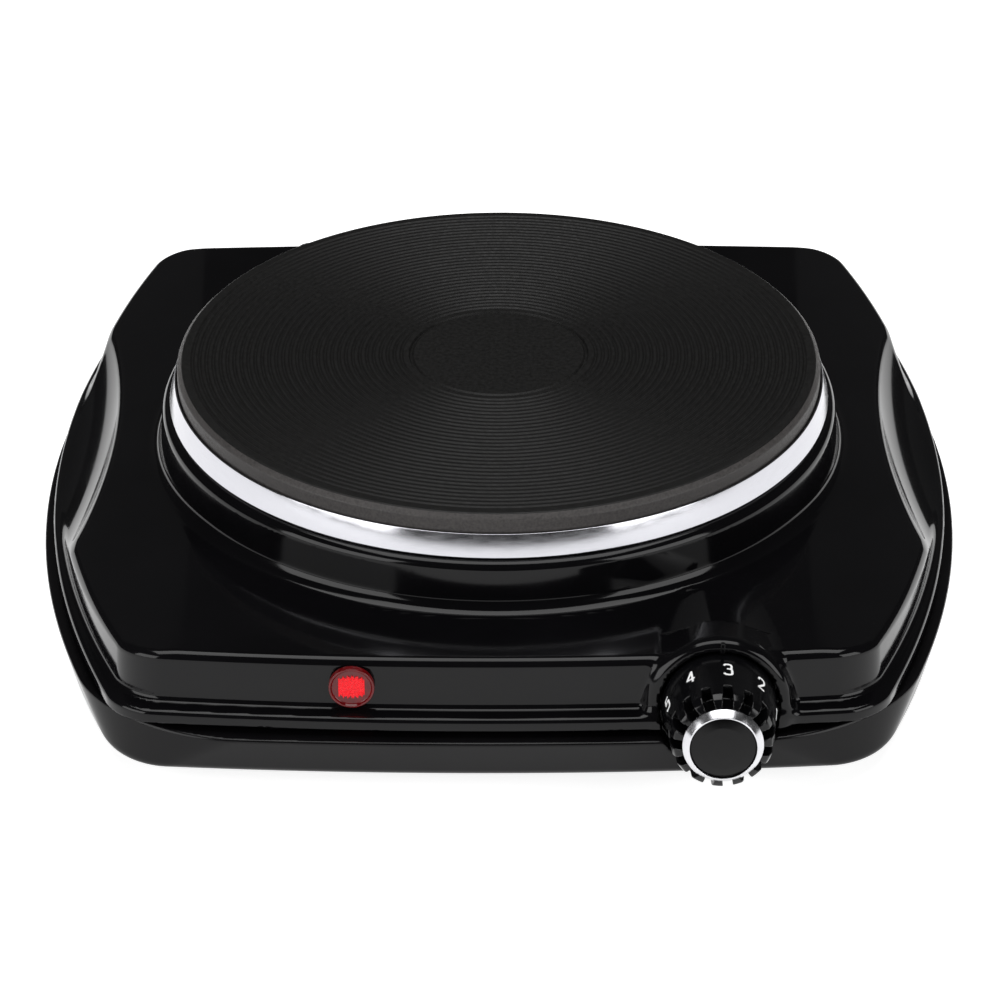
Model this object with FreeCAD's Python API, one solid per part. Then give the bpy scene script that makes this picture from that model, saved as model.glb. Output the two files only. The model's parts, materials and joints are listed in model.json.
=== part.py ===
import FreeCAD, Part

import math
import os

from FreeCAD import Vector

os.makedirs("parts", exist_ok=True)

# A free-standing electric hot plate with one cast-iron plate. Millimetres, +Z up, +X to the right, the knob
# at the front (-Y). Everything is modelled about the cooking plate's axis and then moved by BODY_SHIFT, so
# that the origin ends at the centre of the whole object's footprint, with z = 0 at the feet.

BODY_SHIFT = 8.75

# Heights
FOOT_HEIGHT = 7.0
PAN_RIM_Z = 19.4
BAND_BOTTOM_Z = 21.1
BAND_TOP_Z = 24.7
WALL_BOTTOM_Z = 25.5
DECK_Z = 39.7
COLLAR_TOP_Z = 53.7
RING_TOP_Z = 60.9
PLATE_TOP_Z = 66.2

# Body outline: half depth and half width at the middle of each side, then radii. The sides are widest behind
# the plate's axis, by each SIDE_MID.
PAN_RIM_DEPTH = 132.8
PAN_RIM_WIDTH = 132.3
PAN_SIDE_RADIUS = 309.0
PAN_SIDE_MID = 3.0
PAN_BOW_RADIUS = 1150.0
PAN_RIM_CORNER = 30.0
PAN_TAPER = 3.1
PAN_FLOOR_CORNER = 10.0
BAND_DEPTH = 129.7
BAND_WIDTH = 129.9
BAND_SIDE_RADIUS = 331.0
WALL_DEPTH = 124.5
WALL_WIDTH = 127.5
WALL_SIDE_RADIUS = 304.0
SHELL_SIDE_MID = 9.0
FRONT_BOW_RADIUS = 900.0
BACK_BOW_RADIUS = 1900.0
SHELL_CORNER = 8.0
WALL_DRAFT = 0.9

# Sheet thicknesses
SHELL_WALL = 1.6
PAN_WALL = 1.2

# Sloping sides and finger scoops
CREASE_X = 103.5
CREASE_FLARE_DEG = 1.6
SLOPE_DEG = 18.0
SCOOP_RADIUS = 22.0
SCOOP_SWEEP = 300.0
SCOOP_X = 132.0
SCOOP_Z = 46.0

# Collar, ring and plate
COLLAR_BASE_R = 98.5
COLLAR_TOP_R = 96.9
SHELL_OPENING_R = 84.0
PLATE_R = 92.5
PLATE_DISC = 8.0
PLATE_SKIRT_R = 87.0
RING_BOTTOM_R = 95.05
RING_TOP_R = 93.35
RING_SHEET = 0.5
GROOVE_PITCH = 2.0
GROOVE_DEPTH = 0.35
GROOVE_HALF = 0.7
GROOVE_FIRST_R = 28.0
GROOVE_COUNT = 31
CHANNEL_WIDTH = 14.0
CHANNEL_DEPTH = 4.6
CHANNEL_MIDS = (41.0, 58.0, 75.0)
COIL_WIRE_R = 1.5
COIL_OFFSET = 3.4

# Centre fastening
STUD_R = 3.0
STUD_CLEAR = 0.3
BRIDGE_TOP_Z = COLLAR_TOP_Z - SHELL_WALL
BRIDGE_THICK = 2.5
SHIELD_TOP_Z = 44.5
SHIELD_R = 80.0
SHIELD_SHEET = 0.8

# Knob axis: centre of the recess mouth, tilt above level; the hump behind it slopes back more steeply
KNOB_X = 58.8
KNOB_Y = -126.2
KNOB_Z = 27.1
KNOB_TILT_DEG = 5.0
HUMP_TILT_DEG = 10.5
BOSS_R = 18.8
RECESS_R = 16.1
RECESS_DEPTH = 11.0
BOSS_REAR = -36.0
KNOB_SKIRT_R = 15.4
KNOB_GRIP_R = 13.8
KNOB_GRIP_L = 18.3
KNOB_FRONT_R = 11.0
KNOB_FRONT_L = 21.3
KNOB_REAR_L = -8.0
KNOB_RING_R = 10.7
KNOB_RING_L = 23.6
CAP_R = 8.8
CAP_L = 24.1
TOOTH_COUNT = 15
TOOTH_SLOT = 2.4
SLOT_FLOOR_R = 10.2
SLOT_REAR_L = 14.6
SLOT_PHASE_DEG = 85.0
SPINDLE_R = 3.0
RUNNING_FIT = 0.05

# Pilot lamp
LAMP_X = -39.1
LAMP_Z = 32.3
LENS_R = 6.1
LENS_BARREL_R = 5.0
LENS_PROUD = 2.1
WALL_GAP = 0.35

# Cord inlet
GLAND_X = -60.0
GLAND_Z = 32.0
GLAND_BODY_R = 5.2
GLAND_FLANGE_R = 6.2
GLAND_BORE_R = 3.6

# Feet
FOOT_X = 88.0
FOOT_Y = 104.0
FOOT_R = 9.0
SCREW_R = 1.9

UP = Vector(0, 0, 1)


# Small builders ---------------------------------------------------------------------------------------------

def rod(radius, z0, z1, x=0.0, y=0.0):
    return Part.makeCylinder(radius, z1 - z0, Vector(x, y, z0))


def pipe(outer, inner, z0, z1, x=0.0, y=0.0):
    return rod(outer, z0, z1, x, y).cut(rod(inner, z0 - 1, z1 + 1, x, y))


def block(x0, x1, y0, y1, z0, z1):
    return Part.makeBox(x1 - x0, y1 - y0, z1 - z0, Vector(x0, y0, z0))


def turned(points):
    """A solid turned about Z from (radius, height) points."""
    corners = [Vector(r, 0, z) for r, z in points]
    face = Part.Face(Part.makePolygon(corners + [corners[0]]))
    return face.revolve(Vector(0, 0, 0), UP, 360)


def hex_nut(across, bore, z0, z1, x=0.0, y=0.0):
    radius = across / math.sqrt(3)
    corners = []
    for k in range(7):
        angle = math.radians(60 * k)
        corners.append(Vector(x + radius * math.cos(angle), y + radius * math.sin(angle), z0))
    prism = Part.Face(Part.makePolygon(corners)).extrude(Vector(0, 0, z1 - z0))
    return prism.cut(rod(bore, z0 - 1, z1 + 1, x, y))


def group(solids):
    return Part.makeCompound(list(solids))


def end_points(depth, width, side_mid, side_radius, bow_radius, corner):
    """Where a side arc meets the corner arc, the corner arc's middle, and where that meets the bowed end."""
    side_centre = Vector(width - side_radius, side_mid, 0)
    bow_centre = Vector(0, depth - bow_radius, 0)
    a = side_radius - corner
    b = bow_radius - corner
    span = bow_centre - side_centre
    gap = span.Length
    along = (a * a - b * b + gap * gap) / (2 * gap)
    off = math.sqrt(a * a - along * along)
    span.normalize()
    corner_centre = side_centre + span * along + Vector(-span.y, span.x, 0) * off
    to_side = (corner_centre - side_centre).normalize()
    to_bow = (corner_centre - bow_centre).normalize()
    to_middle = (to_side + to_bow).normalize()
    return [corner_centre + way * corner for way in (to_side, to_middle, to_bow)]


def outline(depth, width, side_mid, side_radius, front_bow, back_bow, corner, z):
    """The body's plan outline: bowed front and back, curved sides and tangent corner arcs."""
    def placed(points, sx, sy):
        return [Vector(sx * point.x, sy * point.y, z) for point in points]

    back = end_points(depth, width, side_mid, side_radius, back_bow, corner)
    front = end_points(depth, width, -side_mid, side_radius, front_bow, corner)
    arcs = []
    for sx in (1, -1):
        back_arc = placed(back, sx, 1)
        front_arc = placed(front, sx, -1)
        arcs += [back_arc, front_arc, [front_arc[0], Vector(sx * width, side_mid, z), back_arc[0]]]
    for points, sy in ((back, 1), (front, -1)):
        arcs.append([placed(points, 1, sy)[2], Vector(0, sy * depth, z), placed(points, -1, sy)[2]])
    return Part.Wire(Part.__sortEdges__([Part.Arc(*arc).toShape() for arc in arcs]))


def band_outline(inset, z):
    return outline(
        BAND_DEPTH - inset, BAND_WIDTH - inset, SHELL_SIDE_MID, BAND_SIDE_RADIUS,
        FRONT_BOW_RADIUS, BACK_BOW_RADIUS, SHELL_CORNER, z,
    )


def wall_outline(inset, z):
    return outline(
        WALL_DEPTH - inset, WALL_WIDTH - inset, SHELL_SIDE_MID, WALL_SIDE_RADIUS,
        FRONT_BOW_RADIUS, BACK_BOW_RADIUS, SHELL_CORNER, z,
    )


def pan_outline(inset, corner, z):
    return outline(
        PAN_RIM_DEPTH - inset, PAN_RIM_WIDTH - inset, PAN_SIDE_MID, PAN_SIDE_RADIUS,
        PAN_BOW_RADIUS, PAN_BOW_RADIUS, corner, z,
    )


def prism(wire, height):
    return Part.Face(wire).extrude(Vector(0, 0, height))


def loft(lower, upper):
    return Part.makeLoft([lower, upper], True, True)


def on_knob_axis(shape, tilt=KNOB_TILT_DEG):
    """Moves a shape from knob space (X right, Y up, Z outward along the knob axis) to the body."""
    placed = shape.copy()
    placed.rotate(Vector(0, 0, 0), Vector(1, 0, 0), 90 - tilt)
    placed.translate(Vector(KNOB_X, KNOB_Y, KNOB_Z))
    return placed


def knob_point(x, y, outward):
    """A point given in knob space, in the body's frame."""
    tilt = math.radians(KNOB_TILT_DEG)
    return Vector(
        KNOB_X + x,
        KNOB_Y - outward * math.cos(tilt) + y * math.sin(tilt),
        KNOB_Z + outward * math.sin(tilt) + y * math.cos(tilt),
    )


def wire_tube(points, radius):
    """A round wire along straight runs joined by tangent arcs."""
    edges = []
    start = points[0]
    for before, corner, after in zip(points, points[1:], points[2:]):
        back = (before - corner).normalize()
        ahead = (after - corner).normalize()
        turn = math.pi - back.getAngle(ahead)
        shorter = min((before - corner).Length, (after - corner).Length)
        trim = 0.45 * shorter
        bend = trim / math.tan(turn / 2)
        first = corner + back * trim
        last = corner + ahead * trim
        middle_way = (back + ahead).normalize()
        reach = bend / math.cos(turn / 2) - bend
        edges.append(Part.LineSegment(start, first).toShape())
        edges.append(Part.Arc(first, corner + middle_way * reach, last).toShape())
        start = last
    edges.append(Part.LineSegment(start, points[-1]).toShape())
    path = Part.Wire(edges)
    circle = Part.Circle(points[0], points[1] - points[0], radius)
    profile = Part.Wire([circle.toShape()])
    return path.makePipeShell([profile], True, True)


# Housing ----------------------------------------------------------------------------------------------------

def slope_wedge(side, inset):
    """What lies above one sloping side, to be cut away."""
    wedge = block(0, 80, -160, 160, 0, 60)
    wedge.rotate(Vector(0, 0, 0), Vector(0, 1, 0), SLOPE_DEG)
    half = math.radians(SLOPE_DEG) / 2
    wedge.translate(Vector(CREASE_X - inset * math.tan(half), 0, DECK_Z - inset))
    wedge.rotate(Vector(0, 0, 0), UP, -CREASE_FLARE_DEG)
    if side < 0:
        wedge = wedge.mirror(Vector(0, 0, 0), Vector(1, 0, 0))
    return wedge


def scoop(side, inset):
    centre = Vector(side * (SCOOP_X + SCOOP_SWEEP), SHELL_SIDE_MID, SCOOP_Z)
    ring = Part.makeTorus(SCOOP_SWEEP, SCOOP_RADIUS + inset, centre, UP)
    return ring.common(block(side * 165 - 65, side * 165 + 65, -90, 90, 0, 90))


def shell_volume(inset, bottom_z):
    """The space inside the top shell's outside surface, drawn in by inset."""
    foot = wall_outline(inset, WALL_BOTTOM_Z - 2)
    body = loft(foot, wall_outline(WALL_DRAFT + inset, DECK_Z - inset))
    for side in (-1, 1):
        body = body.cut(slope_wedge(side, inset))
    band = prism(band_outline(inset, bottom_z), BAND_TOP_Z - inset - bottom_z)
    ledge = loft(band_outline(inset, BAND_TOP_Z - inset), wall_outline(inset, WALL_BOTTOM_Z - inset))
    body = body.fuse(band).fuse(ledge)
    for side in (-1, 1):
        body = body.cut(scoop(side, inset))
    collar = Part.makeCone(
        COLLAR_BASE_R - inset, COLLAR_TOP_R - inset, COLLAR_TOP_Z - DECK_Z, Vector(0, 0, DECK_Z - inset)
    )
    return body.fuse(collar)


def below_band():
    """Everything under the band's lower edge that is outside the pan's inner wall."""
    outside = block(KNOB_X - 40, KNOB_X + 40, -200, -80, 0, BAND_BOTTOM_Z)
    inside = prism(pan_outline(PAN_TAPER + 2 * PAN_WALL + 1.2, PAN_FLOOR_CORNER, 0), BAND_BOTTOM_Z)
    return outside.cut(inside)


def make_top_shell():
    recess_back = -RECESS_DEPTH - 2.0
    outer = shell_volume(0.0, BAND_BOTTOM_Z)
    inner = shell_volume(SHELL_WALL, BAND_BOTTOM_Z - 2)
    hump = on_knob_axis(rod(BOSS_R, BOSS_REAR, -1.0), HUMP_TILT_DEG).common(block(0, 120, -140, 0, 30, 60))
    hump_space = on_knob_axis(rod(BOSS_R - SHELL_WALL, BOSS_REAR, recess_back), HUMP_TILT_DEG)
    cup = on_knob_axis(rod(BOSS_R, recess_back, 0)).cut(below_band())
    cup = cup.cut(block(0, 120, -140, 0, 0, FOOT_HEIGHT + PAN_WALL + 0.4))
    shell = outer.fuse(hump).cut(inner.fuse(hump_space)).fuse(cup)
    shell = shell.cut(on_knob_axis(rod(RECESS_R, -RECESS_DEPTH, 20)))
    shell = shell.cut(on_knob_axis(rod(5.1, -20, 0)))
    for x in (-FOOT_X, FOOT_X):
        for y in (-FOOT_Y, FOOT_Y):
            boss = rod(5.0, FOOT_HEIGHT + PAN_WALL, DECK_Z - 1.0, x, y)
            shell = shell.fuse(boss.cut(rod(SCREW_R, 0, 30, x, y)))
    shell = shell.cut(rod(SHELL_OPENING_R, DECK_Z - 5, COLLAR_TOP_Z + 5))
    lamp_hole = Part.makeCylinder(LENS_BARREL_R + 0.1, 20, Vector(LAMP_X, -132, LAMP_Z), Vector(0, 1, 0))
    gland_hole = Part.makeCylinder(GLAND_BODY_R + 0.1, 20, Vector(GLAND_X, 114, GLAND_Z), Vector(0, 1, 0))
    return shell.cut(lamp_hole).cut(gland_hole).removeSplitter()


def make_base_pan():
    rim_inset = PAN_TAPER + 7.0
    outer = loft(
        pan_outline(PAN_TAPER, PAN_FLOOR_CORNER, FOOT_HEIGHT), pan_outline(0, PAN_RIM_CORNER, PAN_RIM_Z)
    )
    hollow = loft(
        pan_outline(PAN_TAPER + PAN_WALL, PAN_FLOOR_CORNER, FOOT_HEIGHT + PAN_WALL),
        pan_outline(PAN_WALL, PAN_RIM_CORNER, PAN_RIM_Z - PAN_WALL),
    )
    pan = outer.cut(hollow)
    mouth = prism(pan_outline(rim_inset + PAN_WALL, PAN_FLOOR_CORNER, FOOT_HEIGHT + 3), 20)
    pan = pan.cut(mouth)
    lip = prism(pan_outline(rim_inset, PAN_FLOOR_CORNER, PAN_RIM_Z - PAN_WALL), 4.0).cut(mouth)
    pan = pan.fuse(lip)
    above_floor = block(0, 140, -160, 0, FOOT_HEIGHT + PAN_WALL, 90)
    notch = on_knob_axis(rod(RECESS_R + 0.9, -4.0, 30))
    inside_wall = prism(pan_outline(PAN_TAPER + 2 * PAN_WALL, PAN_FLOOR_CORNER, 0), 60)
    cup_room = on_knob_axis(rod(BOSS_R + 0.4, -40, -0.4)).common(above_floor).common(inside_wall)
    pan = pan.cut(notch.common(above_floor)).cut(cup_room)
    for x in (-FOOT_X, FOOT_X):
        for y in (-FOOT_Y, FOOT_Y):
            pan = pan.cut(rod(SCREW_R + 0.2, 0, 12, x, y))
    for row in range(5):
        y = (row - 2) * 14.0
        for x0 in (-46.0, 6.0):
            pan = pan.cut(block(x0, x0 + 40, y - 2, y + 2, 0, 12))
    return pan.removeSplitter()


def make_foot(x, y):
    foot = Part.makeCone(FOOT_R - 1.0, FOOT_R, FOOT_HEIGHT, Vector(x, y, 0))
    foot = foot.cut(rod(4.6, -1, 3.2, x, y))
    return foot.cut(rod(SCREW_R + 0.1, -1, FOOT_HEIGHT + 1, x, y))


def make_foot_screws():
    screws = []
    for x in (-FOOT_X, FOOT_X):
        for y in (-FOOT_Y, FOOT_Y):
            head = rod(4.0, 1.2, 3.2, x, y).cut(block(x - 4, x + 4, y - 0.5, y + 0.5, 0, 2.2))
            screws.append(head.fuse(rod(SCREW_R, 3.2, 24.0, x, y)))
    return group(screws)


# Cooking plate and element ----------------------------------------------------------------------------------

PLATE_DISC_Z = PLATE_TOP_Z - PLATE_DISC
PLATE_SEAT_Z = COLLAR_TOP_Z + RING_SHEET


def make_plate():
    points = [(0, PLATE_DISC_Z - 2), (10, PLATE_DISC_Z - 2), (10, PLATE_DISC_Z)]
    for middle in CHANNEL_MIDS:
        inner = middle - CHANNEL_WIDTH / 2
        outer = middle + CHANNEL_WIDTH / 2
        points += [(inner, PLATE_DISC_Z), (inner, PLATE_DISC_Z + CHANNEL_DEPTH)]
        points += [(outer, PLATE_DISC_Z + CHANNEL_DEPTH), (outer, PLATE_DISC_Z)]
    points += [(PLATE_SKIRT_R, PLATE_DISC_Z), (PLATE_SKIRT_R, PLATE_SEAT_Z), (PLATE_R, PLATE_SEAT_Z)]
    points += [(PLATE_R, PLATE_TOP_Z - 1.2), (PLATE_R - 1.2, PLATE_TOP_Z)]
    for k in reversed(range(GROOVE_COUNT)):
        radius = GROOVE_FIRST_R + k * GROOVE_PITCH
        points += [(radius + GROOVE_HALF, PLATE_TOP_Z), (radius, PLATE_TOP_Z - GROOVE_DEPTH)]
        points.append((radius - GROOVE_HALF, PLATE_TOP_Z))
    points += [(26.4, PLATE_TOP_Z), (25.6, PLATE_TOP_Z - 0.6), (24.8, PLATE_TOP_Z), (0, PLATE_TOP_Z)]
    return turned(points).cut(rod(STUD_R, PLATE_DISC_Z - 3, PLATE_DISC_Z + 2))


def make_overflow_ring():
    rise = RING_TOP_Z - COLLAR_TOP_Z - 0.7
    foot = COLLAR_TOP_Z + 0.7
    points = [
        (86.0, COLLAR_TOP_Z), (RING_BOTTOM_R - 0.6, COLLAR_TOP_Z), (RING_BOTTOM_R, foot),
        (RING_TOP_R, foot + rise), (RING_TOP_R - RING_SHEET, foot + rise),
        (RING_BOTTOM_R - RING_SHEET - 0.4, foot), (RING_BOTTOM_R - 1.3, PLATE_SEAT_Z), (86.0, PLATE_SEAT_Z),
    ]
    return turned(points)


def coil_rings():
    top = PLATE_DISC_Z + CHANNEL_DEPTH - COIL_WIRE_R - 0.6
    rings = []
    for middle in CHANNEL_MIDS:
        for radius in (middle - COIL_OFFSET, middle + COIL_OFFSET):
            rings.append(Part.makeTorus(radius, COIL_WIRE_R, Vector(0, 0, top), UP))
    return rings


def make_ceramic_fill():
    rings = []
    for middle in CHANNEL_MIDS:
        half = CHANNEL_WIDTH / 2
        ring = pipe(middle + half, middle - half, PLATE_DISC_Z, PLATE_DISC_Z + CHANNEL_DEPTH)
        for coil in coil_rings():
            ring = ring.cut(coil)
        rings.append(ring)
    return group(rings)


def make_element_cover():
    cover = pipe(86.0, 10.3, PLATE_DISC_Z - 1.0, PLATE_DISC_Z)
    return cover.cut(block(-15, 15, 28, 42, 0, 90))


def make_centre_stud():
    return rod(STUD_R, 30.0, PLATE_DISC_Z + 2)


def make_clamp_bridge():
    bottom = BRIDGE_TOP_Z - BRIDGE_THICK
    bar = block(-92, 92, -9, 9, bottom, BRIDGE_TOP_Z).common(rod(91.0, 0, 90))
    return bar.cut(rod(STUD_R + STUD_CLEAR, 0, 90))


def make_stud_washers():
    bridge_bottom = BRIDGE_TOP_Z - BRIDGE_THICK
    shield_bottom = SHIELD_TOP_Z - SHIELD_SHEET
    upper = pipe(7.0, STUD_R + 0.2, bridge_bottom - 1.2, bridge_bottom)
    lower = pipe(7.0, STUD_R + 0.2, shield_bottom - 1.2, shield_bottom)
    return group([upper, lower])


def make_stud_nuts():
    upper_top = BRIDGE_TOP_Z - BRIDGE_THICK - 1.2
    lower_top = SHIELD_TOP_Z - SHIELD_SHEET - 1.2
    return group([
        hex_nut(10, STUD_R, upper_top - 3.0, upper_top),
        hex_nut(10, STUD_R, lower_top - 5.0, lower_top),
    ])


def make_heat_shield():
    bottom = SHIELD_TOP_Z - SHIELD_SHEET
    dish = turned([
        (STUD_R + STUD_CLEAR, bottom), (SHIELD_R - 6, bottom),
        (SHIELD_R, bottom + 4), (SHIELD_R - 1, bottom + 4.6),
        (SHIELD_R - 6.4, SHIELD_TOP_Z), (STUD_R + STUD_CLEAR, SHIELD_TOP_Z),
    ])
    return dish.cut(block(-17, 17, 26, 44, 0, 90))


def make_shield_spacer():
    nut_bottom = BRIDGE_TOP_Z - BRIDGE_THICK - 4.2
    return pipe(5.0, STUD_R + 0.2, SHIELD_TOP_Z, nut_bottom)


def make_element_terminal_block():
    body = block(-14, 14, 29, 41, 46.6, PLATE_DISC_Z)
    for x in (-9.0, 0.0, 9.0):
        body = body.cut(block(x - 1.6, x + 1.6, 34.5, 35.5, 40, 70))
    return body


def make_element_terminals():
    tabs = []
    for x in (-9.0, 0.0, 9.0):
        tabs.append(block(x - 1.6, x + 1.6, 34.5, 35.5, 38.0, PLATE_DISC_Z))
    return group(tabs)


# Thermostat, in knob space ----------------------------------------------------------------------------------

STACK_X = 13.5
STACK_R = 4.5
LEAF_L = -25.1
LEAF_THICK = 0.4
BIMETAL_L = -29.5
BIMETAL_THICK = 1.0
PIVOT_X = STACK_X - STACK_R - 0.2
CONTACT_X = -6.0
BRACKET_L = -13.0
BRACKET_THICK = 1.2
STACK_END_L = -35.0


def make_thermostat_bracket():
    plate = block(-13, 19, -8, 8, BRACKET_L - BRACKET_THICK, BRACKET_L)
    plate = plate.cut(rod(5.1, -20, 0)).cut(rod(1.7, -20, 0, STACK_X, 0))
    return on_knob_axis(plate)


def make_thermostat_bush():
    flange = rod(7.5, BRACKET_L - BRACKET_THICK - 2.0, BRACKET_L - BRACKET_THICK)
    barrel = rod(5.0, -19.0, -7.5)
    return on_knob_axis(flange.fuse(barrel).cut(rod(SPINDLE_R + RUNNING_FIT, -30, 0)))


def make_bush_nut():
    return on_knob_axis(hex_nut(14, 5.0, -RECESS_DEPTH, -8.4))


def make_spindle():
    spindle = rod(SPINDLE_R, -21.0, 12.0)
    spindle = spindle.cut(block(-4, 4, 1.9, 4, 0, 14))
    return on_knob_axis(spindle.cut(rod(1.25, -22, -18.4)))


def make_adjusting_pin():
    return on_knob_axis(rod(1.2, LEAF_L + 0.1, -19.5))


def make_contact_leaf():
    leaf = block(CONTACT_X - 2.5, PIVOT_X, -3, 3, LEAF_L - LEAF_THICK, LEAF_L)
    button = rod(1.5, LEAF_L - LEAF_THICK - 1.7, LEAF_L - LEAF_THICK, CONTACT_X)
    return on_knob_axis(leaf.fuse(button))


def make_bimetal_blade():
    blade = block(CONTACT_X - 3, PIVOT_X, -4, 4, BIMETAL_L - BIMETAL_THICK, BIMETAL_L)
    button = rod(1.5, BIMETAL_L, BIMETAL_L + 1.5, CONTACT_X)
    return on_knob_axis(blade.fuse(button))


def make_ceramic_stack():
    spans = (
        (LEAF_L, BRACKET_L - BRACKET_THICK),
        (BIMETAL_L, LEAF_L - LEAF_THICK),
        (STACK_END_L, BIMETAL_L - BIMETAL_THICK),
    )
    washers = []
    for low, high in spans:
        washers.append(on_knob_axis(pipe(STACK_R, 1.6, low, high, STACK_X)))
    return group(washers)


def make_thermostat_tabs():
    tabs = []
    for top, thick in ((LEAF_L, LEAF_THICK), (BIMETAL_L, BIMETAL_THICK)):
        tab = block(STACK_X - 2.5, STACK_X + 2.5, -4, 10, top - thick, top)
        tabs.append(on_knob_axis(tab.cut(rod(1.6, top - 2, top + 1, STACK_X))))
    return group(tabs)


def make_stack_screw():
    head = rod(3.0, STACK_END_L - 2.2, STACK_END_L, STACK_X)
    head = head.cut(block(STACK_X - 4, STACK_X + 4, -0.4, 0.4, STACK_END_L - 3, STACK_END_L - 1.2))
    return on_knob_axis(head.fuse(rod(1.5, STACK_END_L, BRACKET_L - 0.1, STACK_X)))


# Knob, in knob space ----------------------------------------------------------------------------------------

def make_knob_body():
    body = turned([
        (KNOB_SKIRT_R, KNOB_REAR_L), (KNOB_SKIRT_R, 1.5), (14.9, 6.0), (14.3, 12.0),
        (KNOB_GRIP_R, KNOB_GRIP_L),
        (12.9, 20.4), (KNOB_FRONT_R, KNOB_FRONT_L), (0, KNOB_FRONT_L), (0, 14.0), (SPINDLE_R, 14.0),
        (SPINDLE_R, -6.5), (5.2, -6.5), (5.2, 18.0), (8.6, 18.0), (8.6, 13.0), (11.0, 13.0), (11.0, 8.0),
        (13.4, 2.0), (13.4, KNOB_REAR_L),
    ])
    for k in range(TOOTH_COUNT):
        slot = block(SLOT_FLOOR_R, 20, -TOOTH_SLOT / 2, TOOTH_SLOT / 2, SLOT_REAR_L, 30)
        slot.rotate(Vector(0, 0, 0), UP, SLOT_PHASE_DEG + 360 * k / TOOTH_COUNT)
        body = body.cut(slot)
    body = body.fuse(block(-2.2, 2.2, 1.9, 3.6, 2.0, 14.0))
    return on_knob_axis(body.cut(block(-1.8, 1.8, -3.7, -2.6, 2.0, 13.0)))


def make_knob_clip():
    return on_knob_axis(block(-1.7, 1.7, -3.6, -SPINDLE_R, 3.0, 11.5))


def make_knob_ring():
    return on_knob_axis(turned([
        (KNOB_RING_R, KNOB_FRONT_L), (KNOB_RING_R, KNOB_FRONT_L + 0.4), (KNOB_RING_R - 1.5, KNOB_RING_L),
        (CAP_R + 0.05, KNOB_RING_L), (CAP_R + 0.05, KNOB_FRONT_L),
    ]))


def make_knob_cap():
    return on_knob_axis(turned([
        (0, KNOB_FRONT_L), (CAP_R, KNOB_FRONT_L), (CAP_R, CAP_L - 0.7), (CAP_R - 1.8, CAP_L - 0.3),
        (0, CAP_L),
    ]))


# Pilot lamp -------------------------------------------------------------------------------------------------

def wall_reach(x, z, bow_radius):
    """How far the front or back wall's outside is from the plate's axis, at x and height z."""
    draft = WALL_DRAFT * (z - WALL_BOTTOM_Z) / (DECK_Z - WALL_BOTTOM_Z)
    bow = bow_radius - math.sqrt(bow_radius ** 2 - x ** 2)
    return WALL_DEPTH - draft - bow


LAMP_WALL_Y = -wall_reach(LAMP_X, LAMP_Z, FRONT_BOW_RADIUS)


def lamp_rod(radius, y0, y1, dx=0.0, dz=0.0):
    """A round length along Y, y measured inward from the wall's outside."""
    start = Vector(LAMP_X + dx, LAMP_WALL_Y + y0, LAMP_Z + dz)
    return Part.makeCylinder(radius, y1 - y0, start, Vector(0, 1, 0))


def make_pilot_lens():
    head = lamp_rod(LENS_R, -LENS_PROUD, -WALL_GAP).cut(lamp_rod(LENS_R - 0.6, -9.0, 0.4 - LENS_PROUD))
    barrel = lamp_rod(LENS_BARREL_R, -WALL_GAP, 14.0)
    return head.fuse(barrel).cut(lamp_rod(LENS_BARREL_R - 0.9, 1.0, 15.0))


def make_lamp_clip():
    ring = lamp_rod(LENS_BARREL_R + 0.75, SHELL_WALL + 2 * WALL_GAP, SHELL_WALL + 2 * WALL_GAP + 0.6)
    return ring.cut(lamp_rod(LENS_BARREL_R, 0, 9))


def make_neon_bulb():
    bulb = lamp_rod(2.6, 3.8, 15.0)
    return bulb.fuse(Part.makeSphere(2.6, Vector(LAMP_X, LAMP_WALL_Y + 3.8, LAMP_Z)))


def make_lamp_resistor():
    return lamp_rod(1.6, 19.0, 27.0, 3.0)


# Mains inlet and wiring -------------------------------------------------------------------------------------

def make_cord_gland():
    wall = wall_reach(GLAND_X, GLAND_Z, BACK_BOW_RADIUS)

    def ring(radius, y0, y1):
        return Part.makeCylinder(radius, y1 - y0, Vector(GLAND_X, wall + y0, GLAND_Z), Vector(0, 1, 0))

    outer_face = 1.5 * WALL_GAP
    inner_face = -SHELL_WALL - 2 * WALL_GAP
    body = ring(GLAND_FLANGE_R, outer_face, 3.0).fuse(ring(GLAND_BODY_R, inner_face, outer_face))
    body = body.fuse(ring(GLAND_FLANGE_R - 0.3, -6.0, inner_face))
    return body.cut(ring(GLAND_BORE_R, -10.0, 10.0))


BLOCK_X = -60.0
BLOCK_Y0 = 72.0
BLOCK_Y1 = 90.0
BLOCK_TOP = 22.0
WAY_PITCH = 10.0


def make_mains_terminal_block():
    floor = FOOT_HEIGHT + PAN_WALL
    body = block(BLOCK_X - 15.5, BLOCK_X + 15.5, BLOCK_Y0, BLOCK_Y1, floor, BLOCK_TOP)
    for k in (-1, 0, 1):
        x = BLOCK_X + k * WAY_PITCH
        body = body.cut(Part.makeCylinder(2.3, 30, Vector(x, BLOCK_Y0 - 5, 15.0), Vector(0, 1, 0)))
        for y in (BLOCK_Y0 + 5, BLOCK_Y1 - 5):
            body = body.cut(rod(2.2, 15.0, BLOCK_TOP + 1, x, y))
    return body


def make_terminal_screws():
    screws = []
    for k in (-1, 0, 1):
        for y in (BLOCK_Y0 + 5, BLOCK_Y1 - 5):
            screw = rod(1.9, 17.2, BLOCK_TOP - 0.8, BLOCK_X + k * WAY_PITCH, y)
            x = BLOCK_X + k * WAY_PITCH
            screws.append(screw.cut(block(x - 2, x + 2, y - 0.3, y + 0.3, BLOCK_TOP - 1.8, BLOCK_TOP)))
    return group(screws)


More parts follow.
